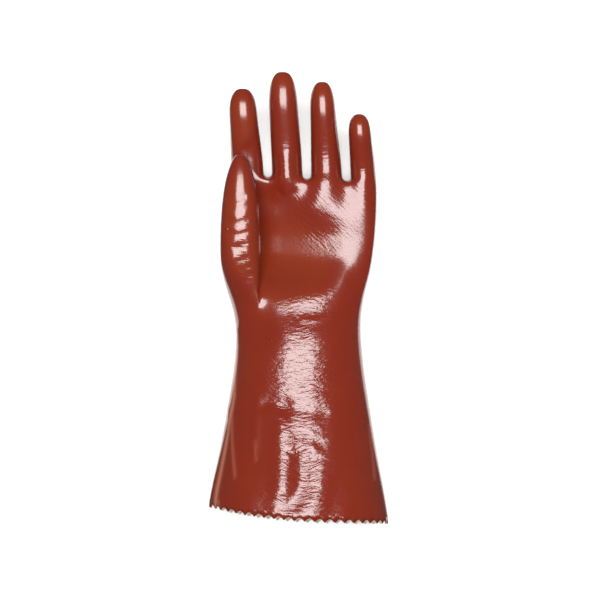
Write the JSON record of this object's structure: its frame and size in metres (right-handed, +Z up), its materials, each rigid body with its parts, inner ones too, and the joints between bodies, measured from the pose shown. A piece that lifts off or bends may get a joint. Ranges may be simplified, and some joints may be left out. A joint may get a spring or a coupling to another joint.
{
  "type": "pvc coated work glove",
  "caption": "Hollow left-hand gauntlet work glove with a glossy coated hand, separate fingers and thumb, and a flared cuff with a scalloped edge.",
  "frame": {"origin": "on the surface that the glove lies on, under the middle of its outline", "axes": "+Y from the cuff rim to the fingertips, +Z up out of the palm, +X towards the little finger's side"},
  "size_m": [0.1384, 0.3496, 0.0798],
  "materials": {
    "pvc_coat": "glossy dipped PVC, finely wrinkled, red-brown, bonded to matt off-white cotton knit on the inside"
  },
  "bodies": {
    "root": {"coated_glove": "pvc_coat"}
  },
  "joints": []
}
